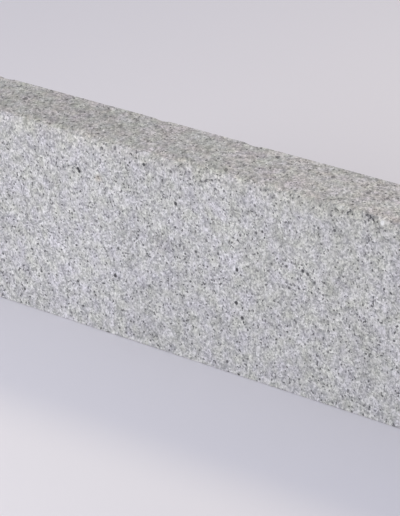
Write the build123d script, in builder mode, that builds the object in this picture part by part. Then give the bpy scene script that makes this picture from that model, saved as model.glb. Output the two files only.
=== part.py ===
from build123d import *

import os
from math import cos, radians, sin
from typing import NamedTuple

# Granite kerb stone: one block of light grey granite, sawn to size, its front and top dressed.
# It stands as it is laid, length along X, the dressed front towards -Y and the dressed top up.
# The origin is the middle of the bed, the face that the stone stands on. Sizes are millimetres.

# The block
length = 1000.0
height = 250.0
width = 100.0

# The arrises, which are the edges where two faces meet
front_arris_radius = 7.0  # top front, rubbed round by the dressing
back_arris_radius = 2.0  # top back, worn a little
foot_arris_radius = 1.5  # both long edges of the bed
end_arris_chamfer = 1.2  # around both sawn ends


class Spall(NamedTuple):
    """A flake of stone broken off a top arris, its scar a piece of a ball's surface."""

    place: float  # where its middle is, as a share of the length, from the stone's middle
    reach: float  # how far it runs along the arris
    bite: float  # how deep it goes, measured from the rounded arris
    lean: float  # the way it faces, in degrees above level: 45 takes as much of the side and the top


front_spalls = [
    Spall(place=-0.435, reach=26.0, bite=1.8, lean=50.0),
    Spall(place=-0.340, reach=34.0, bite=2.4, lean=40.0),
    Spall(place=-0.203, reach=24.0, bite=1.8, lean=52.0),
    Spall(place=-0.165, reach=16.0, bite=1.4, lean=48.0),
    Spall(place=-0.073, reach=20.0, bite=2.4, lean=34.0),
    Spall(place=-0.029, reach=16.0, bite=2.0, lean=32.0),
    Spall(place=0.031, reach=22.0, bite=1.8, lean=45.0),
    Spall(place=0.102, reach=34.0, bite=2.2, lean=46.0),
    Spall(place=0.169, reach=16.0, bite=2.0, lean=40.0),
    Spall(place=0.202, reach=30.0, bite=3.2, lean=38.0),
    Spall(place=0.248, reach=24.0, bite=2.6, lean=45.0),
    Spall(place=0.345, reach=36.0, bite=2.2, lean=48.0),
    Spall(place=0.455, reach=28.0, bite=2.0, lean=40.0),
]

back_spalls = [
    Spall(place=-0.390, reach=26.0, bite=1.2, lean=45.0),
    Spall(place=-0.138, reach=22.0, bite=1.3, lean=50.0),
    Spall(place=0.002, reach=26.0, bite=1.6, lean=48.0),
    Spall(place=0.290, reach=30.0, bite=1.4, lean=52.0),
    Spall(place=0.430, reach=22.0, bite=1.2, lean=42.0),
]

with BuildPart() as kerb_stone:
    # The section, drawn on the left end and run along the stone
    with BuildSketch(Plane.YZ.offset(-length / 2)) as section:
        Rectangle(width, height, align=(Align.CENTER, Align.MIN))
        # Each fillet changes the outline, so the corners left are picked out again after it
        fillet(section.vertices().group_by(Axis.Y)[0], radius=foot_arris_radius)
        front_corner = section.vertices().group_by(Axis.Y)[-1].sort_by(Axis.X)[0]
        fillet(front_corner, radius=front_arris_radius)
        back_corner = section.vertices().group_by(Axis.Y)[-1].sort_by(Axis.X)[-1]
        fillet(back_corner, radius=back_arris_radius)
    extrude(amount=length)

    # The sawn ends lose their sharp rim
    sawn_ends = kerb_stone.faces().filter_by(Axis.X)
    chamfer(sawn_ends.edges(), length=end_arris_chamfer)

    # Each spall is the bite of a ball that stands outside its arris
    top_arrises = (
        (front_spalls, -1, front_arris_radius),
        (back_spalls, 1, back_arris_radius),
    )
    for spalls, side, arris_radius in top_arrises:
        for spall in spalls:
            ball_radius = (spall.reach**2 / 4 + spall.bite**2) / (2 * spall.bite)
            outward = Vector(0, side * cos(radians(spall.lean)), sin(radians(spall.lean)))
            arris_centre = Vector(
                spall.place * length,
                side * (width / 2 - arris_radius),
                height - arris_radius,
            )
            ball_centre = arris_centre + outward * (arris_radius + ball_radius - spall.bite)
            with Locations(ball_centre):
                Sphere(ball_radius, mode=Mode.SUBTRACT)

kerb_stone.part.label = "kerb_stone"

os.makedirs("parts", exist_ok=True)
export_step(kerb_stone.part, "parts/kerb_stone.step")
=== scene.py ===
"""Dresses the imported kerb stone: rough-worked faces, a broken arris, granite, and a studio to see it in.

Lengths are metres and the frame is the stone's own: +X runs along it, the dressed front faces -Y, the
dressed top faces +Z, and the origin is the middle of the bed, which stands on the floor.
"""

import logging
from collections.abc import Callable, Iterable, Sequence
from dataclasses import dataclass, field
from enum import Enum
from itertools import pairwise
from math import ceil, cos, hypot, radians, sin

import bmesh
import bpy
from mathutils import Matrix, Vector


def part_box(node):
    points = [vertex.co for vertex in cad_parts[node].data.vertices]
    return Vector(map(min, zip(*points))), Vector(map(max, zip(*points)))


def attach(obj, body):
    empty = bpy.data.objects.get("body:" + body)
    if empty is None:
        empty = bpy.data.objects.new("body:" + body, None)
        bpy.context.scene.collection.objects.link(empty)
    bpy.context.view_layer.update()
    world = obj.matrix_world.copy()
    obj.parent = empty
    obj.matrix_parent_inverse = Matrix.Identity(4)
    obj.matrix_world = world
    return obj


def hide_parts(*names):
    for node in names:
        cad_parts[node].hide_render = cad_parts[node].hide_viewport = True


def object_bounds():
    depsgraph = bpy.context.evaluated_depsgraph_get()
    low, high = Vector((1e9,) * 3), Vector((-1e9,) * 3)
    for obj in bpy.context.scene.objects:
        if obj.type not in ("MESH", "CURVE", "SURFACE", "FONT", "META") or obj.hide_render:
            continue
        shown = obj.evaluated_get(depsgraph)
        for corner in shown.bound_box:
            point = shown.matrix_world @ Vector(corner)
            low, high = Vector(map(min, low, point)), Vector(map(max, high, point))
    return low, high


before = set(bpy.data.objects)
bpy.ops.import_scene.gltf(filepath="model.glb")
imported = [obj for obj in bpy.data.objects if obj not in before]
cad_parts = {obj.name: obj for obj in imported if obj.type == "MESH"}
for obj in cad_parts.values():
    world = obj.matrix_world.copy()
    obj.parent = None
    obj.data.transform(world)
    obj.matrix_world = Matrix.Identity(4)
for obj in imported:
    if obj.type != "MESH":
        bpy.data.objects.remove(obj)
cad_low, cad_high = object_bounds()

log = logging.getLogger("kerb_stone")

Colour = tuple[float, float, float]
Place = tuple[float, float, float]
Span = tuple[float, float]
Object = bpy.types.Object
Node = bpy.types.Node
Socket = bpy.types.NodeSocket
Source = Socket | Sequence[float] | float  # what an input is given: another node's output, or a value
Test = Callable[[bmesh.types.BMEdge | bmesh.types.BMFace], bool]

# Black mica's colour, also used for the painted shade in dark lines along broken flakes.
BLACK_MICA_AND_SHADE: Colour = (0.045, 0.045, 0.052)
GREY_MICA: Colour = (0.210, 0.210, 0.218)
BRIGHT_CHIP: Colour = (0.800, 0.800, 0.810)

SKIN_DEPTH = 0.0012  # how far behind the sawn size a spot on the front is centred, within the worked skin
LEVEL_WITH = 1e-6  # places nearer to each other than this count as one
LOOKS_ALONG = 0.9  # how squarely a face looks one way to count as looking that way
NOISE_MIDDLE = 0.5  # the value that a noise swings about
NOISE_SPAN: Span = (0.3, 0.7)  # the values between which a noise mostly stays


# Selecting and cutting


class Way(Enum):
    """The way a face looks out of the block."""

    FRONT = Vector((0, -1, 0))
    BACK = Vector((0, 1, 0))
    TOP = Vector((0, 0, 1))
    BED = Vector((0, 0, -1))
    LEFT = Vector((-1, 0, 0))
    RIGHT = Vector((1, 0, 0))


class Part(Enum):
    """A part of a mesh that can be selected, by the name of its list."""

    EDGE = "edges"
    FACE = "faces"


def work_on(piece: Object) -> None:
    """Deselects everything, then makes one piece the selected and active one.

    Args:
        piece: the object to work on.
    """
    bpy.ops.object.select_all(action="DESELECT")
    piece.select_set(True)
    bpy.context.view_layer.objects.active = piece


def select(piece: Object, kind: Part, wanted: Test) -> None:
    """Selects edges or faces of a piece, and nothing else.

    Args:
        piece: the object, in edit mode.
        kind: whether edges or faces are selected.
        wanted: says whether one of them is to be selected.
    """
    bpy.ops.mesh.select_mode(type=kind.name)
    bpy.ops.mesh.select_all(action="DESELECT")
    mesh = bmesh.from_edit_mesh(piece.data)
    for part in getattr(mesh, kind.value):
        part.select_set(wanted(part))
    bmesh.update_edit_mesh(piece.data)


def looks(*ways: Way) -> Test:
    """Returns a test for the faces that look one of some ways."""
    return lambda face: any(face.normal.dot(way.value) > LOOKS_ALONG for way in ways)


def apply_modifier(piece: Object, kind: str, **settings: object) -> None:
    """Gives a piece a modifier and applies it.

    Args:
        piece: the object.
        kind: the modifier's type.
        settings: the modifier's own properties.
    """
    work_on(piece)
    bpy.ops.object.modifier_add(type=kind)
    modifier = piece.modifiers[-1]
    for name, setting in settings.items():
        setattr(modifier, name, setting)
    bpy.ops.object.modifier_apply(modifier=modifier.name)


def divide(marks: Sequence[float], *steps: float) -> list[float]:
    """Divides the stretches between marks, each evenly.

    Args:
        marks: the places between which the stretches lie, in order.
        steps: the most that one division of each stretch may measure.

    Returns:
        The places of all the divisions, without the first and the last mark.
    """
    places = []
    for (low, high), step in zip(pairwise(marks), steps, strict=True):
        count = ceil((high - low) / step)
        places += [low + (high - low) * division / count for division in range(1, count)] + [high]
    return places[:-1]


def ramp_down(distance: float, reach: float) -> float:
    """Returns 1 at no distance, falling smoothly to 0 at the reach."""
    share = min(max(distance / reach, 0.0), 1.0)
    return 1.0 - share * share * (3.0 - 2.0 * share)


# Relief


class Grain(Enum):
    """The kind of unevenness that a layer of relief has, by Blender's name for its noise."""

    ROLLING = "ORIGINAL_PERLIN"
    CRUMBLED = "BLENDER_ORIGINAL"
    FLAKED = "VORONOI_F2_F1"


@dataclass(frozen=True)
class Relief:
    """One layer of relief, cut into the stone from its sawn size, so that nothing stands proud.

    Attributes:
        name: what the layer is.
        group: the vertex group that says where it is cut.
        grain: the kind of unevenness.
        wavelength: the size of one hollow.
        depth: how deep the deepest hollow goes.
        octaves: how many finer layers it carries.
        contrast: over 1 makes hollows and flats more distinct.
    """

    name: str
    group: str
    grain: Grain
    wavelength: float
    depth: float
    octaves: int = 1
    contrast: float = 1.0

    def cut(self, stone: Object, outward: Sequence[Vector]) -> None:
        """Cuts the layer into the stone's mesh, each point straight in, so that the surface never folds.

        Args:
            stone: the stone.
            outward: the way out of the undressed stone at each of its points.
        """
        before = [(vertex.co.copy(), vertex.normal.copy()) for vertex in stone.data.vertices]
        pattern = bpy.data.textures.new(self.name, type="CLOUDS")
        pattern.noise_basis = self.grain.value
        pattern.noise_scale = self.wavelength
        pattern.noise_depth = self.octaves
        pattern.contrast = self.contrast
        apply_modifier(
            stone,
            "DISPLACE",
            texture=pattern,
            texture_coords="LOCAL",
            direction="NORMAL",
            vertex_group=self.group,
            mid_level=1.0,
            strength=self.depth,
        )
        for vertex, (place, normal), way_out in zip(stone.data.vertices, before, outward):
            raised = (vertex.co - place).dot(normal)
            vertex.co = place + way_out * min(raised, 0.0)


# The material


class NodeBench:
    """Adds nodes to one material and joins them up."""

    def __init__(self, material: bpy.types.Material) -> None:
        """Clears the material's node tree, ready for work.

        Args:
            material: the material.
        """
        material.use_nodes = True
        self.tree = material.node_tree
        self.tree.nodes.clear()

    def add(self, kind: str, label: str = "", **settings: object) -> Node:
        """Adds one node.

        Args:
            kind: the node's type, without its ShaderNode prefix.
            label: what it is for.
            settings: the node's own properties.

        Returns:
            The node.
        """
        node = self.tree.nodes.new("ShaderNode" + kind)
        node.label = label
        for name, setting in settings.items():
            setattr(node, name, setting)
        return node

    def feed(self, socket: Socket, source: Source) -> None:
        """Gives an input either another node's output or a plain value.

        Args:
            socket: the input.
            source: the output or the value.
        """
        if isinstance(source, Socket):
            self.tree.links.new(source, socket)
        else:
            socket.default_value = source

    def join(self, node: Node, *sources: Source) -> Node:
        """Gives a node's first inputs an output or a value each.

        Args:
            node: the node.
            sources: what its inputs are given, in order.

        Returns:
            The node.
        """
        for socket, source in zip(node.inputs, sources):
            self.feed(socket, source)
        return node

    def math(self, operation: str, first: Source, second: Source = 0.0) -> Socket:
        """Adds a Math node and returns its output."""
        return self.join(self.add("Math", operation=operation), first, second).outputs[0]

    def vector(self, operation: str, first: Source, second: Source) -> Socket:
        """Adds a Vector Math node and returns its vector output."""
        return self.join(self.add("VectorMath", operation=operation), first, second).outputs[0]

    def measure(self, operation: str, first: Source, second: Source) -> Socket:
        """Adds a Vector Math node that gives a plain number, and returns that output."""
        return self.join(self.add("VectorMath", operation=operation), first, second).outputs["Value"]

    def steps(
        self,
        source: Source,
        low: Source,
        high: Source,
        low_to: float = 0.0,
        high_to: float = 1.0,
        smooth: bool = False,
    ) -> Socket:
        """Maps a range of values onto another, held at its ends.

        Args:
            source: the value to map.
            low: the value that becomes low_to.
            high: the value that becomes high_to.
            low_to: the result at the low end.
            high_to: the result at the high end.
            smooth: whether the result eases in and out.

        Returns:
            The mapped value's output.
        """
        node = self.add("MapRange", interpolation_type="SMOOTHSTEP" if smooth else "LINEAR")
        return self.join(node, source, low, high, low_to, high_to).outputs[0]

    def texture(self, kind: str, place: Source, size: float, label: str) -> Node:
        """Adds a texture.

        Args:
            kind: the texture node's type, without its ShaderNode prefix.
            place: the place where it is looked up.
            size: the size of one wave or cell.
            label: what it is for.

        Returns:
            The node.
        """
        node = self.add(kind, label)
        self.feed(node.inputs["Vector"], place)
        node.inputs["Scale"].default_value = 1.0 / size
        return node

    def cells(self, place: Source, size: float, label: str) -> Node:
        """Adds a Voronoi Texture whose cells have a given size, and returns the node."""
        return self.texture("TexVoronoi", place, size, label)

    def noise(
        self,
        place: Source,
        size: float,
        label: str,
        octaves: float = 2.0,
        output: str = "Fac",
    ) -> Socket:
        """Adds a Noise Texture.

        Args:
            place: the place where it is looked up.
            size: the size of one wave.
            label: what it is for.
            octaves: how many finer layers it carries.
            output: which of its outputs is wanted.

        Returns:
            That output.
        """
        node = self.texture("TexNoise", place, size, label)
        node.inputs["Detail"].default_value = octaves
        return node.outputs[output]

    def wander(self, place: Source, bend: float, reach: Place, label: str) -> Socket:
        """Makes a place stray from itself, so that what is drawn there is crooked.

        Args:
            place: the place.
            bend: the size of one bend.
            reach: how far it strays along each axis.
            label: what it is for.

        Returns:
            The new place's output.
        """
        stray = self.noise(place, bend, label, output="Color")
        stray = self.vector("SUBTRACT", stray, (NOISE_MIDDLE,) * 3)
        stray = self.vector("MULTIPLY", stray, reach)
        return self.vector("ADD", place, stray)

    def split(self, colour: Source) -> Node:
        """Adds a node that parts a colour into its red, green and blue, and returns it."""
        return self.join(self.add("SeparateColor"), colour)

    def blend(self, share: Source, under: Source, over: Source, label: str = "") -> Socket:
        """Lays one colour over another.

        Args:
            share: how much of the upper colour shows, from 0 to 1.
            under: the lower colour.
            over: the upper colour.
            label: what it is for.

        Returns:
            The blended colour's output.
        """
        node = self.add("Mix", label, data_type="RGBA")
        self.feed(node.inputs["Factor"], share)
        colours = [socket for socket in node.inputs if socket.type == "RGBA"]
        for socket, colour in zip(colours, (under, over)):
            self.feed(socket, colour if isinstance(colour, Socket) else (*colour, 1.0))
        return next(socket for socket in node.outputs if socket.type == "RGBA")

    def ramp(self, share: Source, stops: Iterable[tuple[float, Colour]], label: str) -> Socket:
        """Adds a colour ramp.

        Args:
            share: the value looked up.
            stops: places from 0 to 1 with the colour at each, in order.
            label: what it is for.

        Returns:
            The colour's output.
        """
        node = self.add("ValToRGB", label)
        self.feed(node.inputs[0], share)
        elements = node.color_ramp.elements
        while len(elements) > 1:
            elements.remove(elements[-1])
        for number, (place, colour) in enumerate(stops):
            element = elements[0] if number == 0 else elements.new(place)
            element.position = place
            element.color = (*colour, 1.0)
        return node.outputs["Color"]

    def finish(self, shader: Node) -> None:
        """Gives the material's surface a shader."""
        self.join(self.add("OutputMaterial"), shader.outputs[0])


def grey(level: float) -> Colour:
    """Returns a colour whose red, green and blue are alike."""
    return (level, level, level)


@dataclass(frozen=True)
class Mineral:
    """One mineral of the granite.

    Attributes:
        share: how much of the stone it is, from 0 to 1.
        dark: the colour of its darkest grains.
        light: the colour of its lightest grains.
    """

    share: float
    dark: Colour
    light: Colour


@dataclass(frozen=True)
class Spot:
    """A mark with a place of its own on the front or the top.

    Attributes:
        along: its place on X.
        up: its height above the bed.
        size: how wide it is.
        strength: how much of the stone's own colour it hides.
        back: how far it is behind the front face.
        colour: its colour.
    """

    along: float
    up: float
    size: float
    strength: float = 0.95
    back: float = 0.0
    colour: Colour = BLACK_MICA_AND_SHADE


@dataclass(frozen=True)
class TonePatch:
    """A soft patch of another tone, paler or darker than the stone round it: either a mark that the stone
    really has, or painted light and shade.

    Attributes:
        along: the place of its middle on X.
        up: the height of its middle above the bed.
        length: how far it reaches either way along the stone.
        reach: how far it reaches across.
        factor: what the colour is multiplied by in its middle.
        back: how far its middle is behind the front face.
    """

    along: float
    up: float
    length: float
    reach: float
    factor: Colour
    back: float = 0.0


@dataclass(frozen=True)
class CrackShade:
    """A short dark line of painted shade, such as along the broken rim of a flake that has come away.

    Attributes:
        start: where it starts.
        end: where it ends.
        width: how wide it is.
        strength: how much of the stone's own colour it hides.
    """

    start: Place
    end: Place
    width: float = 0.0038
    strength: float = 0.75


@dataclass(frozen=True)
class Cloud:
    """A slow change of colour through the stone.

    Attributes:
        name: what it is.
        size: how wide its patches are.
        low: what the colour is multiplied by where it is least.
        high: what the colour is multiplied by where it is most.
        octaves: how many finer layers it carries.
        span: the values of the noise at which it is least and most.
        lie: how much longer its patches are along each axis.
    """

    name: str
    size: float
    low: Colour
    high: Colour
    octaves: float = 2.0
    span: Span = NOISE_SPAN
    lie: Place = (1.0, 1.0, 1.0)


@dataclass(frozen=True)
class Granite:
    """Light grey granite, seen on a worked face: mixed grains, clots of mica, dust, a rough skin, and
    painted light and shade.

    Sizes are metres. Shares, strengths and the values of a noise run from 0 to 1.
    """

    name: str = "light_grey_granite"

    # The grains
    lie: Place = (1.0, 1.0, 1.12)  # how much longer they are along each axis
    top_lie: Place = (1.0, 1.6, 1.0)  # the same on the top, where the axes are turned
    top_turn: float = 38.0  # how far they are turned there, in degrees
    grain_size: float = 0.0020
    border_bend: float = 0.005  # the size of one bend in the borders between grains
    border_wander: float = 0.0010  # how far the borders stray
    mica: Mineral = Mineral(0.05, (0.088, 0.088, 0.094), (0.200, 0.200, 0.210))
    quartz: Mineral = Mineral(0.28, (0.315, 0.320, 0.329), (0.436, 0.440, 0.453))
    feldspar: Mineral = Mineral(0.67, (0.460, 0.458, 0.465), (0.660, 0.656, 0.672))
    mineral_change: float = 0.004  # the stretch of the ramp in which one mineral turns into the next
    fleck_size: float = 0.0010
    fleck_share: float = 0.05
    fleck_edge: float = 0.01
    fleck_strength: float = 0.50
    crystal_size: float = 0.0050
    crystal_contrast: float = 0.13
    # The seams are painted shade in thin pits between the grains.
    seam_size: float = 0.0045
    seam_width: float = 0.09
    seam_opening: Span = (0.50, 0.58)  # the noise at which a seam is still closed, and fully open
    seam_shift: Place = (0.7, 0.3, 0.5)  # where the opening's own noise is taken
    seam_spread: float = 1.5  # how much larger the patches of open seams are than the seams' bends
    seam_strength: float = 0.64
    clot_spacing: float = 0.014
    clot_share: float = 0.35
    clot_size: float = 0.0030
    clot_strength: float = 0.75

    # Slow changes of tone and tint, and patches of painted light and shade
    clouds: tuple[Cloud, ...] = (
        Cloud("broad_tone", 0.090, grey(0.975), grey(1.025), 1.0),
        Cloud("tone", 0.030, grey(0.95), grey(1.05)),
        Cloud("streaks", 0.0030, grey(0.965), grey(1.035), 1.0, lie=(1.0, 1.0, 5.0)),
        Cloud("blue_and_yellow", 0.018, (1.000, 1.000, 0.950), (1.000, 1.000, 1.050)),
        Cloud("red_and_green", 0.018, (0.993, 1.004, 1.000), (1.007, 0.996, 1.000)),
    )
    stains_and_painted_light: tuple[TonePatch, ...] = (
        # Darker along the upper front, and darker towards the foot.
        TonePatch(-0.05, 0.230, 0.80, 0.050, grey(0.95)),
        TonePatch(-0.05, 0.010, 0.80, 0.060, grey(0.955)),
        # Yellower to the right and bluer to the left.
        TonePatch(0.25, 0.125, 0.22, 0.160, (1.0, 1.0, 0.985)),
        TonePatch(-0.13, 0.125, 0.22, 0.160, (1.0, 1.0, 1.015)),
        # Painted light and shade on the front, for the way the front light falls: paler low on the left and
        # in the middle, darker high on the right and on the left.
        TonePatch(-0.24, 0.060, 0.14, 0.090, grey(1.04)),
        TonePatch(-0.15, 0.010, 0.12, 0.070, grey(1.06)),
        TonePatch(0.04, 0.160, 0.05, 0.100, grey(1.045)),
        TonePatch(0.185, 0.190, 0.05, 0.080, grey(0.955)),
        TonePatch(-0.115, 0.170, 0.05, 0.100, grey(0.965)),
        # Small pale, brown and rusty spots that the stone really has, and pale patches on the arris.
        TonePatch(-0.047, 0.177, 0.007, 0.007, (1.13, 1.13, 1.12)),
        TonePatch(-0.062, 0.136, 0.018, 0.020, (0.93, 0.92, 0.90)),
        TonePatch(-0.157, 0.198, 0.009, 0.008, (0.94, 0.87, 0.79)),
        TonePatch(-0.217, 0.247, 0.010, 0.009, grey(1.13), 0.004),
        TonePatch(-0.022, 0.242, 0.012, 0.010, grey(1.12), 0.002),
        TonePatch(0.017, 0.245, 0.012, 0.010, grey(1.09), 0.002),
        TonePatch(0.217, 0.236, 0.014, 0.012, grey(1.08), 0.001),
        # Painted shade in the spalls along the front arris.
        TonePatch(0.165, 0.246, 0.050, 0.013, (0.88, 0.88, 0.875), 0.004),
        TonePatch(-0.125, 0.242, 0.055, 0.013, (0.88, 0.88, 0.875), 0.001),
        TonePatch(-0.040, 0.241, 0.050, 0.013, (0.92, 0.92, 0.915), 0.001),
        # A pale patch below the arris.
        TonePatch(0.032, 0.235, 0.045, 0.017, grey(1.11)),
        # The warm tint of a painted highlight along the front arris.
        TonePatch(0.0, 0.246, 0.90, 0.024, (1.006, 0.993, 0.962)),
        # A brownish mark on the top by the arris.
        TonePatch(0.271, 0.247, 0.018, 0.013, (0.82, 0.775, 0.76), 0.010),
    )

    # The top: weathering, dust, and painted light and shade
    weathering: tuple[Cloud, ...] = (
        Cloud("weathering", 0.0050, (0.55, 0.54, 0.53), (1.105, 1.09, 1.07), 2.0, (0.25, 0.50)),
        Cloud("tints", 0.020, (0.972, 1.012, 0.990), (1.028, 0.988, 1.010), 1.0),
    )
    top_stains_and_painted_light: tuple[TonePatch, ...] = (
        # Painted light on the top: paler to the right and darker to the left, for the way the light falls
        # across it.
        TonePatch(0.35, 0.250, 0.32, 0.150, (1.15, 1.145, 1.14), 0.05),
        TonePatch(-0.35, 0.250, 0.36, 0.150, (0.90, 0.90, 0.89), 0.03),
        # A painted highlight on the top along the front arris.
        TonePatch(0.0, 0.250, 0.90, 0.015, grey(1.32)),
    )
    dust: Colour = (0.385, 0.372, 0.352)
    dust_share: float = 0.15
    dust_patch: float = 0.0035
    top_facing: Span = (0.20, 0.70)  # how far up the face looks where the weathering starts, and is full
    top_reach: Span = (0.020, 0.006)  # how far below the top it starts, and is full
    top_edge: float = 0.006  # how far its ragged edge strays
    top_edge_bend: float = 0.012  # the size of one bend in that edge
    top_overhang: float = 0.001  # how far before the front face it starts

    # Marks with a place of their own
    spot_fade: Span = (0.62, 0.38)  # where a spot fades out and is full, as shares of its size
    crack_fade: Span = (0.6, 0.2)  # the same for a crack's width
    crack_bend: float = 0.006  # the size of one bend in a crack
    crack_wander: float = 0.008  # how far it strays
    break_size: float = 0.0025
    break_span: Span = (0.40, 0.55)  # the noise at which a crack is faintest and strongest
    break_left: float = 0.25  # how much of it shows where it is faintest

    # The skin
    skin_grain: float = 0.0022
    skin_depth: float = 0.0009
    skin_strength: float = 0.8
    skin_octaves: float = 3.0  # how many finer layers it carries
    top_grain: float = 0.0060
    top_depth: float = 0.0020
    roughness: Span = (0.55, 0.80)  # of the smoothest grain and the roughest
    shine: float = 0.35

    def grain_stops(self) -> list[tuple[float, Colour]]:
        """Divides the ramp that turns a grain's random number into a mineral's colour.

        Returns:
            The places of the ramp's stops, with the colour at each.
        """
        stops = []
        reached = 0.0
        for mineral in (self.mica, self.quartz, self.feldspar):
            stops.append((reached, mineral.dark))
            reached += mineral.share
            stops.append((min(reached, 1.0) - self.mineral_change, mineral.light))
        return stops

    def mix_grains(self, bench: NodeBench, place: Source) -> tuple[Socket, Socket]:
        """Sets the grains side by side, with flecks and clots of mica, and painted shade in the seams
        between them.

        Args:
            bench: the material's bench.
            place: the place in the pattern.

        Returns:
            The colour's output, and an output with a random number for each grain.
        """
        grains = bench.split(bench.cells(place, self.grain_size, "grains").outputs["Color"])
        colour = bench.ramp(grains.outputs[0], self.grain_stops(), "minerals")

        flecks = bench.split(bench.cells(place, self.fleck_size, "fine flecks").outputs["Color"])
        least = self.fleck_share - self.fleck_edge
        is_fleck = bench.steps(flecks.outputs[0], self.fleck_share, least, 0.0, self.fleck_strength)
        colour = bench.blend(is_fleck, colour, self.mica.light, "fine mica")

        crystals = bench.cells(place, self.crystal_size, "patches of larger crystals")
        brightness = bench.split(crystals.outputs["Color"]).outputs[2]
        dull = grey(1.0 - self.crystal_contrast)
        bright = grey(1.0 + self.crystal_contrast)
        colour = bench.vector("MULTIPLY", colour, bench.blend(brightness, dull, bright))

        # Painted shade in the pits along the seams between grains.
        colour = self.shade_seams(bench, place, colour)

        clots = bench.cells(place, self.clot_spacing, "clots")
        rank = bench.split(clots.outputs["Color"]).outputs[1]
        reach = bench.steps(rank, 1.0 - self.clot_share, 1.0, 0.0, self.clot_size / self.clot_spacing)
        in_clot = bench.math("LESS_THAN", clots.outputs["Distance"], reach)
        in_clot = bench.math("MULTIPLY", in_clot, self.clot_strength)
        return bench.blend(in_clot, colour, self.mica.dark, "clots of mica"), grains.outputs[1]

    def shade_seams(self, bench: NodeBench, place: Source, colour: Source) -> Socket:
        """Paints shade into short crooked seams between the grains, as in thin pits there.

        Args:
            bench: the material's bench.
            place: the place in the pattern.
            colour: the stone's colour so far.

        Returns:
            The new colour's output.
        """
        course = bench.noise(place, self.seam_size, "course of the seams")
        off_seam = bench.math("ABSOLUTE", bench.math("SUBTRACT", course, NOISE_MIDDLE))
        on_seam = bench.steps(off_seam, self.seam_width, 0.0, 0.0, self.seam_strength)
        elsewhere = bench.vector("ADD", place, self.seam_shift)
        patch = self.seam_spread * self.seam_size
        opening = bench.noise(elsewhere, patch, "opening of the seams", octaves=1.0)
        is_open = bench.steps(opening, *self.seam_opening)
        # The painted shade in the seams takes the colour of the palest mica.
        return bench.blend(bench.math("MULTIPLY", on_seam, is_open), colour, self.mica.light, "seams")

    def lay_along(self, bench: NodeBench, place: Source, on_top: Socket) -> Socket:
        """Stretches the pattern one way on the top and another way elsewhere.

        Args:
            bench: the material's bench.
            place: the place on the stone.
            on_top: 1 on the weathered top and 0 elsewhere.

        Returns:
            An output with the place in the pattern.
        """
        upright = bench.vector("DIVIDE", place, self.lie)
        turned = bench.join(bench.add("Mapping", "lie of the top", vector_type="TEXTURE"), place)
        turned.inputs["Rotation"].default_value = (0.0, 0.0, radians(self.top_turn))
        turned.inputs["Scale"].default_value = self.top_lie
        is_top = bench.math("GREATER_THAN", on_top, 0.5)
        apart = bench.vector("SUBTRACT", turned.outputs[0], upright)
        return bench.vector("ADD", upright, bench.vector("MULTIPLY", apart, is_top))

    def tint(self, bench: NodeBench, place: Source, colour: Source, cloud: Cloud) -> Socket:
        """Lays a slow cloud of tone or tint over a colour.

        Args:
            bench: the material's bench.
            place: the place on the stone.
            colour: the stone's colour so far.
            cloud: the cloud.

        Returns:
            The new colour's output.
        """
        laid = bench.vector("DIVIDE", place, cloud.lie)
        share = bench.noise(laid, cloud.size, cloud.name, cloud.octaves)
        factor = bench.blend(bench.steps(share, *cloud.span), cloud.low, cloud.high, cloud.name)
        return bench.vector("MULTIPLY", colour, factor)

    def tone_patch(self, bench: NodeBench, place: Source, colour: Source, tone_patch: TonePatch) -> Socket:
        """Lays a soft patch over a colour.

        Args:
            bench: the material's bench.
            place: the place on the stone.
            colour: the stone's colour so far.
            tone_patch: the patch.

        Returns:
            The new colour's output.
        """
        squeeze = tone_patch.reach / tone_patch.length
        squeezed = bench.vector("MULTIPLY", place, (squeeze, 1.0, 1.0))
        middle = (tone_patch.along * squeeze, cad_low[1] + tone_patch.back, tone_patch.up)
        away = bench.measure("DISTANCE", squeezed, middle)
        inside = bench.steps(away, tone_patch.reach, 0.0, smooth=True)
        factor = bench.blend(inside, grey(1.0), tone_patch.factor, "tone_patch")
        return bench.vector("MULTIPLY", colour, factor)

    def spot(self, bench: NodeBench, place: Source, colour: Source, spot: Spot) -> Socket:
        """Draws a spot over a colour.

        Args:
            bench: the material's bench.
            place: the place on the stone.
            colour: the stone's colour so far.
            spot: the spot.

        Returns:
            The new colour's output.
        """
        centre = (spot.along, cad_low[1] + SKIN_DEPTH + spot.back, spot.up)
        away = bench.measure("DISTANCE", place, centre)
        outside, full = (spot.size * share for share in self.spot_fade)
        inside = bench.steps(away, outside, full, 0.0, spot.strength)
        return bench.blend(inside, colour, spot.colour, "spot")

    def crack_shade(self, bench: NodeBench, place: Source, colour: Source, crack_shade: CrackShade) -> Socket:
        """Paints a dark line of shade over a colour.

        Args:
            bench: the material's bench.
            place: the place on the stone.
            colour: the stone's colour so far.
            crack_shade: the dark line of painted shade.

        Returns:
            The new colour's output.
        """
        run = Vector(crack_shade.end) - Vector(crack_shade.start)
        from_start = bench.vector("SUBTRACT", place, crack_shade.start)
        share = bench.measure("DOT_PRODUCT", from_start, run / run.length_squared)
        along = bench.vector("MULTIPLY", bench.steps(share, 0.0, 1.0), run)
        away = bench.measure("DISTANCE", place, bench.vector("ADD", along, crack_shade.start))
        outside, full = (share * crack_shade.width for share in self.crack_fade)
        inside = bench.steps(away, outside, full, 0.0, crack_shade.strength)
        breaks = bench.noise(place, self.break_size, "breaks in the crack", octaves=1.0)
        unbroken = bench.steps(breaks, *self.break_span, self.break_left, 1.0)
        # The painted shade takes the colour of black mica.
        return bench.blend(bench.math("MULTIPLY", inside, unbroken), colour, BLACK_MICA_AND_SHADE, "crack_shade")

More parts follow.
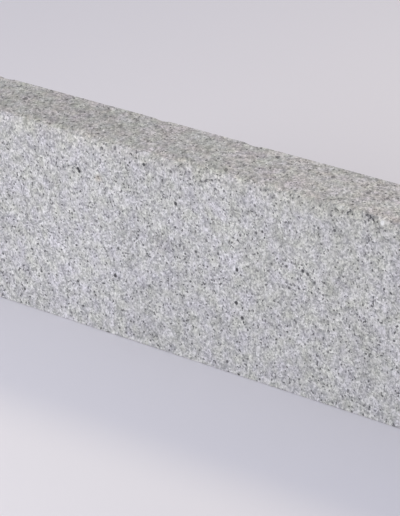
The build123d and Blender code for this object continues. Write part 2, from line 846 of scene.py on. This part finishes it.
    def find_top(self, bench: NodeBench, place: Source, top: float) -> Socket:
        """Finds the weathered top, whose edge along the front is ragged.

        Args:
            bench: the material's bench.
            place: the place on the stone.
            top: the height of the stone's top.

        Returns:
            An output that is 1 on the top and 0 elsewhere.
        """
        parts = bench.join(bench.add("SeparateXYZ"), place)
        facing = bench.join(bench.add("SeparateXYZ"), bench.add("NewGeometry").outputs["Normal"])
        looks_up = bench.steps(facing.outputs["Z"], *self.top_facing, smooth=True)
        start, full = (top - depth for depth in self.top_reach)
        near_top = bench.steps(parts.outputs["Z"], start, full, smooth=True)
        ragged = bench.noise(place, self.top_edge_bend, "ragged edge of the weathered top")
        wobble = bench.steps(ragged, *NOISE_SPAN, -self.top_edge, self.top_edge)
        behind = bench.math("ADD", bench.math("SUBTRACT", parts.outputs["Y"], cad_low[1]), wobble)
        well_behind = 2 * self.top_edge - self.top_overhang
        from_front = bench.steps(behind, -self.top_overhang, well_behind, smooth=True)
        return bench.math("MULTIPLY", bench.math("MULTIPLY", looks_up, near_top), from_front)

    def weather_and_paint_light(
        self,
        bench: NodeBench,
        place: Source,
        laid: Source,
        colour: Source,
        on_top: Socket,
    ) -> Socket:
        """Weathers the stone's top, paints light and shade on it, and lays dust on it.

        Args:
            bench: the material's bench.
            place: the place on the stone.
            laid: the place in the pattern.
            colour: the stone's colour so far.
            on_top: 1 on the weathered top and 0 elsewhere.

        Returns:
            The new colour's output.
        """
        weathered_and_painted_light = colour
        for cloud in self.weathering:
            weathered_and_painted_light = self.tint(bench, laid, weathered_and_painted_light, cloud)
        for tone_patch in self.top_stains_and_painted_light:
            weathered_and_painted_light = self.tone_patch(bench, place, weathered_and_painted_light, tone_patch)
        # Here the top takes its weathering, and its painted light and shade.
        colour = bench.blend(on_top, colour, weathered_and_painted_light, "weathered top")
        patches = bench.noise(laid, self.dust_patch, "patches of dust", octaves=1.0)
        amount = bench.steps(patches, *NOISE_SPAN, 0.0, 2.0 * self.dust_share)
        return bench.blend(bench.math("MULTIPLY", on_top, amount), colour, self.dust, "dust on the top")

    def roughen(self, bench: NodeBench, laid: Source, on_top: Socket) -> Socket:
        """Makes the rough skin, which is coarser on the top.

        Args:
            bench: the material's bench.
            laid: the place in the pattern.
            on_top: 1 on the weathered top and 0 elsewhere.

        Returns:
            The bent normal's output.
        """
        skin = bench.noise(laid, self.skin_grain, "rough skin", self.skin_octaves)
        fine = bench.add("Bump", "rough skin")
        fine.inputs["Strength"].default_value = self.skin_strength
        fine.inputs["Distance"].default_value = self.skin_depth
        bench.feed(fine.inputs["Height"], skin)
        pits = bench.noise(laid, self.top_grain, "pits of the top")
        coarse = bench.add("Bump", "pits of the top")
        bench.feed(coarse.inputs["Strength"], on_top)
        coarse.inputs["Distance"].default_value = self.top_depth
        bench.feed(coarse.inputs["Height"], pits)
        bench.feed(coarse.inputs["Normal"], fine.outputs["Normal"])
        return coarse.outputs["Normal"]

    def make(self, spots: Sequence[Spot], crack_shades: Sequence[CrackShade], top: float) -> bpy.types.Material:
        """Makes the material.

        Args:
            spots: the marks that have a place of their own.
            crack_shades: the dark lines of painted shade that have a place of their own.
            top: the height of the stone's top, where dust lies.

        Returns:
            The material.
        """
        material = bpy.data.materials.new(self.name)
        bench = NodeBench(material)
        place = bench.add("TexCoord").outputs["Object"]
        stray = (self.border_wander,) * 3
        warped = bench.wander(place, self.border_bend, stray, "wander of the grain borders")
        on_top = self.find_top(bench, place, top)
        laid = self.lay_along(bench, warped, on_top)

        colour, grain_number = self.mix_grains(bench, laid)
        for cloud in self.clouds:
            colour = self.tint(bench, place, colour, cloud)
        colour = self.weather_and_paint_light(bench, place, laid, colour, on_top)
        # Patches of painted light and shade, and marks that the stone really has.
        for tone_patch in self.stains_and_painted_light:
            colour = self.tone_patch(bench, place, colour, tone_patch)
        for spot in spots:
            colour = self.spot(bench, warped, colour, spot)
        # Dark lines of painted shade along the broken rims of flakes.
        stray = (self.crack_wander, 0.0, self.crack_wander)
        crooked = bench.wander(place, self.crack_bend, stray, "wander of the cracks")
        for crack_shade in crack_shades:
            colour = self.crack_shade(bench, crooked, colour, crack_shade)

        shader = bench.add("BsdfPrincipled")
        bench.feed(shader.inputs["Base Color"], colour)
        bench.feed(shader.inputs["Roughness"], bench.steps(grain_number, 0.0, 1.0, *self.roughness))
        shader.inputs["Specular IOR Level"].default_value = self.shine
        bench.feed(shader.inputs["Normal"], self.roughen(bench, laid, on_top))
        bench.finish(shader)
        return material


# The stone


@dataclass
class KerbStone:
    """The kerb stone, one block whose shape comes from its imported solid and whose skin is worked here."""

    node: str = "kerb_stone"  # the CAD node that it stands for
    body: str = "root"
    slot: str = "granite"

    # How finely it is divided
    dressed_row: float = 0.0024  # the height of a row of faces where the stone is dressed
    arris_row: float = 0.0012  # the same near the front arris
    arris_band: float = 0.018  # how far the finer rows reach from the front arris
    sawn_row: float = 0.010
    edge_row: float = 0.0015
    column_cuts: tuple[int, int] = (22, 19)  # how many cuts each long edge gets, in two rounds
    rim: float = 0.0012  # the width of the faces round each end

    # How it is worked and worn
    worked_depth: float = 0.006  # how far behind a dressed face the dressing fades out
    edge_depth: float = 0.003  # how far from an edge beside a sawn face the dressing is held back
    edge_calm: float = 0.8  # how much it is held back there
    front_round: float = 0.007
    back_round: float = 0.002
    back_spall_left: float = 0.15  # how much of each spall on the back arris is left
    wear_rounds: int = 6
    wear_factor: float = 0.5
    smooth_under: float = 50.0  # faces that meet at less than this many degrees look smooth
    granite: Granite = field(default_factory=Granite)
    reliefs: tuple[Relief, ...] = (
        Relief("slow_unevenness", "dressed", Grain.ROLLING, 0.045, 0.0008),
        Relief("flaked_hollows", "dressed", Grain.FLAKED, 0.010, 0.0009),
        Relief("torn_skin", "dressed", Grain.CRUMBLED, 0.005, 0.0009, 1, 1.3),
        Relief("arris_sway", "front_arris", Grain.ROLLING, 0.034, 0.0022, 1, 1.6),
        Relief("arris_breaks", "front_arris", Grain.CRUMBLED, 0.009, 0.0024, 2, 1.6),
        Relief("saw_unevenness", "sawn", Grain.ROLLING, 0.060, 0.0003),
    )
    spots: tuple[Spot, ...] = (
        Spot(-0.189, 0.203, 0.0042, 1.0),
        Spot(-0.187, 0.200, 0.0044, 1.0),
        Spot(-0.086, 0.232, 0.0046),
        Spot(-0.038, 0.194, 0.0050),
        Spot(-0.132, 0.078, 0.0046),
        Spot(0.053, 0.092, 0.0050),
        Spot(0.062, 0.075, 0.0046),
        Spot(0.054, 0.134, 0.0046),
        Spot(0.149, 0.157, 0.0046),
        Spot(0.156, 0.155, 0.0042, 0.85),
        Spot(-0.045, 0.233, 0.0036, 0.70),
        Spot(-0.057, 0.198, 0.0036, 0.70),
        Spot(-0.007, 0.141, 0.0040, 0.80),
        Spot(0.026, 0.147, 0.0040, 0.75),
        Spot(0.081, 0.187, 0.0038, 0.75),
        Spot(0.130, 0.131, 0.0038, 0.80),
        Spot(0.170, 0.215, 0.0036, 0.75),
        Spot(0.193, 0.218, 0.0040, 0.85),
        Spot(0.126, 0.157, 0.0038, 0.75),
        Spot(0.040, 0.013, 0.0042, 0.80),
        Spot(-0.280, 0.022, 0.0042, 0.85),
        Spot(-0.127, 0.115, 0.0038, 0.75),
        Spot(0.171, 0.242, 0.0036, 0.70, 0.002),
        Spot(0.0465, 0.208, 0.0058, 0.60, colour=GREY_MICA),
        Spot(0.048, 0.203, 0.0058, 0.60, colour=GREY_MICA),
        Spot(0.0795, 0.2205, 0.0040, 0.70),
        Spot(0.035, 0.248, 0.0066, 0.55, 0.038),
        Spot(0.048, 0.248, 0.0056, 0.80, 0.084),
        Spot(-0.234, 0.248, 0.0080, 0.45, 0.061),
        Spot(0.257, 0.2425, 0.0056, 0.85, 0.0015, BRIGHT_CHIP),
    )
    # Dark lines of painted shade, most of them along the broken rims of flakes at the front arris.
    crack_shades: tuple[CrackShade, ...] = (
        CrackShade((0.187, -0.035, 0.2485), (0.191, -0.029, 0.2485), 0.0034, 0.75),
        CrackShade((0.190, -0.045, 0.246), (0.194, -0.048, 0.241)),
        CrackShade((0.208, -0.045, 0.243), (0.214, -0.041, 0.2475), strength=0.85),
        CrackShade((0.235, -0.045, 0.2465), (0.247, -0.0465, 0.243), 0.0046, 0.95),
        CrackShade((0.239, -0.0485, 0.223), (0.240, -0.0485, 0.217), 0.0036, 0.85),
        CrackShade((-0.032, -0.0455, 0.2445), (-0.034, -0.047, 0.2415), 0.0030, 0.60),
        CrackShade((-0.034, -0.047, 0.2415), (-0.032, -0.048, 0.236), 0.0030, 0.55),
        CrackShade((-0.004, -0.0475, 0.2395), (-0.001, -0.0485, 0.233), 0.0030, 0.65),
        CrackShade((0.000, -0.0485, 0.231), (0.021, -0.048, 0.2385), 0.0032, 0.75),
        CrackShade((0.065, -0.040, 0.2475), (0.065, -0.034, 0.248), 0.0040, 0.60),
        CrackShade((0.0445, -0.0485, 0.2135), (0.0455, -0.0485, 0.211), 0.0028),
        CrackShade((0.092, -0.048, 0.242), (0.096, -0.0475, 0.2425), 0.0032, 0.70),
        CrackShade((-0.0765, -0.0455, 0.2435), (-0.0755, -0.047, 0.240), 0.0032, 0.70),
        CrackShade((-0.260, -0.043, 0.247), (-0.248, -0.036, 0.248), 0.0030, 0.55),
        CrackShade((-0.177, -0.041, 0.2475), (-0.167, -0.035, 0.2485), 0.0030, 0.50),
        CrackShade((0.156, -0.0485, 0.155), (0.169, -0.0485, 0.142), 0.0034, 0.75),
    )

    def block(self) -> Object:
        """Adds a plain block of the frame's own size, in its place.

        Returns:
            The block.
        """
        low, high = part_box(self.node)
        bpy.ops.object.select_all(action="DESELECT")
        bpy.ops.mesh.primitive_cube_add(size=1.0, location=(low + high) / 2)
        stone = bpy.context.object
        stone.name = "dressed_kerb"
        stone.scale = high - low
        bpy.ops.object.transform_apply(location=True, rotation=True, scale=True)
        return stone

    def slice_faces(self, stone: Object, axis: Vector, places: Iterable[float], *ways: Way) -> None:
        """Cuts the faces that look certain ways, and no others, with a plane at each place along an axis.

        Args:
            stone: the block, in edit mode.
            axis: the axis that the planes stand across.
            places: where the planes stand on it.
            ways: the ways that the faces look.
        """
        select(stone, Part.FACE, looks(*ways))
        bpy.ops.mesh.hide(unselected=True)
        for place in places:
            bpy.ops.mesh.select_all(action="SELECT")
            bpy.ops.mesh.bisect(plane_co=axis * place, plane_no=axis)
        bpy.ops.mesh.reveal(select=False)

    def mark_out(self, stone: Object) -> None:
        """Divides the block into cells that are small where it is dressed and large where it is sawn.

        Args:
            stone: the block.
        """
        low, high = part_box(self.node)
        up, deep, along = Vector((0, 0, 1)), Vector((0, 1, 0)), Vector((1, 0, 0))
        fine, finest, coarse, edge = self.dressed_row, self.arris_row, self.sawn_row, self.edge_row
        front_marks = (low.z, low.z + edge, high.z - self.arris_band, high.z)
        top_marks = (low.y, low.y + self.arris_band, high.y - edge, high.y)
        back_marks = (low.z, low.z + edge, high.z - 2 * edge, high.z - edge, high.z)
        bed_marks = (low.y, low.y + edge, high.y - edge, high.y)

        work_on(stone)
        bpy.ops.object.mode_set(mode="EDIT")
        self.slice_faces(stone, up, divide(front_marks, coarse, fine, finest), Way.FRONT)
        self.slice_faces(stone, deep, divide(top_marks, finest, fine, coarse), Way.TOP)
        self.slice_faces(stone, up, divide(back_marks, coarse, coarse, coarse, coarse), Way.BACK)
        self.slice_faces(stone, deep, divide(bed_marks, coarse, coarse, coarse), Way.BED)
        for end in (low.x + self.rim, high.x - self.rim):
            bpy.ops.mesh.select_all(action="SELECT")
            bpy.ops.mesh.bisect(plane_co=along * end, plane_no=along)
        for cuts in self.column_cuts:
            select(stone, Part.EDGE, self.is_long)
            bpy.ops.mesh.subdivide(number_cuts=cuts)
        select(stone, Part.FACE, looks(Way.LEFT, Way.RIGHT))
        bpy.ops.mesh.inset(thickness=self.rim, depth=0)
        self.slice_faces(stone, up, divide((low.z, high.z), coarse), Way.LEFT, Way.RIGHT)
        self.slice_faces(stone, deep, divide((low.y, high.y), coarse), Way.LEFT, Way.RIGHT)
        bpy.ops.object.mode_set(mode="OBJECT")

    def is_long(self, edge: bmesh.types.BMEdge) -> bool:
        """Says whether an edge runs along the stone and isn't one of the short ones at its ends.

        Args:
            edge: the edge.

        Returns:
            Whether it does.
        """
        first, last = (vertex.co for vertex in edge.verts)
        run = abs(last.x - first.x)
        return run > 2 * self.rim and hypot(last.y - first.y, last.z - first.z) < LEVEL_WITH

    def take_frame_shape(self, stone: Object) -> None:
        """Lays the block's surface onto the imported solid, with its round arrises and its spalls."""
        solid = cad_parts[self.node]
        apply_modifier(stone, "SHRINKWRAP", target=solid, wrap_method="NEAREST_SURFACEPOINT")

    def weigh_faces(self, stone: Object) -> None:
        """Writes vertex groups that say how much each point is dressed, sawn or near the front arris.

        Args:
            stone: the stone.
        """
        low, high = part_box(self.node)
        groups = {name: stone.vertex_groups.new(name=name) for name in ("dressed", "sawn", "front_arris")}
        for vertex in stone.data.vertices:
            along, deep, up = vertex.co
            from_front = ramp_down(deep - low.y, self.worked_depth)
            from_top = ramp_down(high.z - up, self.worked_depth)
            worked = max(from_front, from_top)
            dressed = worked
            for from_edge in (along - low.x, high.x - along, high.y - deep, up - low.z):
                dressed *= 1.0 - self.edge_calm * ramp_down(from_edge, self.edge_depth)
            arris = ramp_down(hypot(deep - low.y, high.z - up), self.arris_band)
            groups["dressed"].add([vertex.index], dressed, "REPLACE")
            groups["sawn"].add([vertex.index], 1.0 - worked, "REPLACE")
            groups["front_arris"].add([vertex.index], arris, "REPLACE")

    def wear_arrises(self, stone: Object) -> None:
        """Wears the spalls: shallow along the back arris, and soft at their rims along the front arris.

        Args:
            stone: the stone.
        """
        low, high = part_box(self.node)
        for vertex in stone.data.vertices:
            deep = high.y - vertex.co.y
            down = high.z - vertex.co.z
            if deep < self.arris_band and down < 2 * self.back_round:
                vertex.co.z += down * (1.0 - self.back_spall_left) * self.off_round(deep)
            if down < self.arris_band and deep < 2 * self.back_round:
                vertex.co.y += deep * (1.0 - self.back_spall_left) * self.off_round(down)
        wear = {"factor": self.wear_factor, "iterations": self.wear_rounds}
        apply_modifier(stone, "SMOOTH", vertex_group="front_arris", **wear)

    def off_round(self, distance: float) -> float:
        """Returns 0 on the round of the back arris and 1 on the flat beside it."""
        return 1.0 - ramp_down(distance - self.back_round, self.back_round)

    def keep_to_size(self, stone: Object) -> None:
        """Brings any point that stands proud of the sawn size or of the front arris's round back to it.

        Args:
            stone: the stone.
        """
        low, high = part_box(self.node)
        middle = Vector((low.y + self.front_round, high.z - self.front_round))
        for vertex in stone.data.vertices:
            vertex.co = [min(max(at, least), most) for at, least, most in zip(vertex.co, low, high)]
            out = Vector((vertex.co.y, vertex.co.z)) - middle
            if out.x < 0 < out.y and out.length > self.front_round:
                out.length = self.front_round
                vertex.co.y, vertex.co.z = middle + out

    def build(self) -> list[Object]:
        """Builds and dresses the stone.

        Returns:
            The finished pieces.
        """
        stone = self.block()
        self.mark_out(stone)
        self.take_frame_shape(stone)
        self.weigh_faces(stone)
        self.wear_arrises(stone)
        outward = [vertex.normal.copy() for vertex in stone.data.vertices]
        for relief in self.reliefs:
            relief.cut(stone, outward)
        self.keep_to_size(stone)
        work_on(stone)
        bpy.ops.object.shade_smooth_by_angle(angle=radians(self.smooth_under))
        stone.data.materials.append(self.granite.make(self.spots, self.crack_shades, cad_high[2]))
        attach(stone, self.body)
        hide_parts(self.node)
        return [stone]


# The studio


@dataclass(frozen=True)
class SoftLight:
    """A soft box that shines on the middle of the stone.

    Attributes:
        name: what it is.
        azimuth: its way round from the front of the stone towards the right, in degrees.
        elevation: how far above level it is, in degrees.
        distance: how far it is from the stone.
        size: how wide its face is.
        power: its power in watts.
        colour: its colour.
    """

    name: str
    azimuth: float
    elevation: float
    distance: float
    size: float
    power: float
    colour: Colour = (1.0, 1.0, 1.0)

    def place(self, target: Vector) -> None:
        """Adds the light, turned to its target.

        Args:
            target: the place that it shines on.
        """
        data = bpy.data.lights.new(self.name, type="AREA")
        data.shape = "DISK"
        data.size = self.size
        data.energy = self.power
        data.color = self.colour
        stand(data, target, direction(self.azimuth, self.elevation), self.distance)


def direction(azimuth: float, elevation: float) -> Vector:
    """Returns the way to a place round the stone: azimuth 0 is in front of it, 90 is to its right."""
    level = cos(radians(elevation))
    return Vector((sin(radians(azimuth)) * level, -cos(radians(azimuth)) * level, sin(radians(elevation))))


def stand(data: bpy.types.ID, target: Vector, towards: Vector, distance: float) -> Object:
    """Stands a light or a camera in the scene, turned to a target.

    Args:
        data: the light or the camera.
        target: the place that it looks at.
        towards: the way to it, seen from the target.
        distance: how far it stands from the target.

    Returns:
        Its object.
    """
    stood = bpy.data.objects.new(data.name, data)
    stood.location = target + towards * distance
    stood.rotation_euler = (-towards).to_track_quat("-Z", "Y").to_euler()
    bpy.context.scene.collection.objects.link(stood)
    return stood


@dataclass(frozen=True)
class PlainFinish:
    """A finish of one even colour.

    Attributes:
        name: what it is.
        colour: its colour.
        roughness: how matt it is.
        shine: how strongly it reflects.
    """

    name: str
    colour: Colour
    roughness: float
    shine: float

    def make(self) -> bpy.types.Material:
        """Makes the material.

        Returns:
            The material.
        """
        material = bpy.data.materials.new(self.name)
        bench = NodeBench(material)
        shader = bench.add("BsdfPrincipled")
        shader.inputs["Base Color"].default_value = (*self.colour, 1.0)
        shader.inputs["Roughness"].default_value = self.roughness
        shader.inputs["Specular IOR Level"].default_value = self.shine
        bench.finish(shader)
        return material


@dataclass(frozen=True)
class Studio:
    """A pale floor, soft lights and the camera."""

    floor_size: float = 12.0
    floor_finish: PlainFinish = PlainFinish("pale_floor", (0.778, 0.763, 0.818), 0.9, 0.2)
    sky_colour: Colour = (0.868, 0.886, 1.0)
    sky_strength: float = 0.630
    lights: tuple[SoftLight, ...] = (
        SoftLight("far_front_light", -20.0, 20.0, 3.0, 1.6, 29.4, (1.0, 0.985, 0.893)),
        SoftLight("near_front_light", -20.0, 20.0, 1.6, 1.0, 4.7, (1.0, 0.985, 0.893)),
        SoftLight("back_light", 150.0, 45.0, 3.0, 0.7, 25.4, (1.0, 0.870, 0.560)),
    )
    camera_azimuth: float = 38.68
    camera_elevation: float = 22.29
    camera_distance: float = 3.463
    lens: float = 205.9  # millimetres, as is the film's width
    film_width: float = 36.0
    aim: Vector = Vector((0.0, -0.05, 0.1355))
    lights_aim: Vector = Vector((0.0, 0.0, 0.1))

    def build(self) -> None:
        """Sets up the floor, the lights, the sky and the camera."""
        self.lay_floor()
        for light in self.lights:
            light.place(self.lights_aim)
        self.light_sky()
        self.set_camera()

    def lay_floor(self) -> None:
        """Lays a plain floor under the stone."""
        bpy.ops.object.select_all(action="DESELECT")
        bpy.ops.mesh.primitive_plane_add(size=self.floor_size)
        floor = bpy.context.object
        floor.name = "floor"
        floor.data.materials.append(self.floor_finish.make())

    def light_sky(self) -> None:
        """Gives the even light that comes from all round."""
        world = bpy.data.worlds.new("soft_room")
        world.use_nodes = True
        background = world.node_tree.nodes["Background"]
        background.inputs["Color"].default_value = (*self.sky_colour, 1.0)
        background.inputs["Strength"].default_value = self.sky_strength
        bpy.context.scene.world = world
        bpy.context.scene.view_settings.view_transform = "Standard"

    def set_camera(self) -> None:
        """Adds the camera, at the photograph's angle."""
        data = bpy.data.cameras.new("camera")
        data.lens = self.lens
        data.sensor_width = self.film_width
        towards = direction(self.camera_azimuth, self.camera_elevation)
        bpy.context.scene.camera = stand(data, self.aim, towards, self.camera_distance)


def main() -> None:
    """Builds the stone and its studio, in that order."""
    for piece in KerbStone().build():
        triangles = sum(len(face.vertices) - 2 for face in piece.data.polygons)
        log.info("%s: %d triangles", piece.name, triangles)
    Studio().build()


if __name__ == "__main__":
    logging.basicConfig(level=logging.INFO, format="%(name)s: %(message)s")
    main()
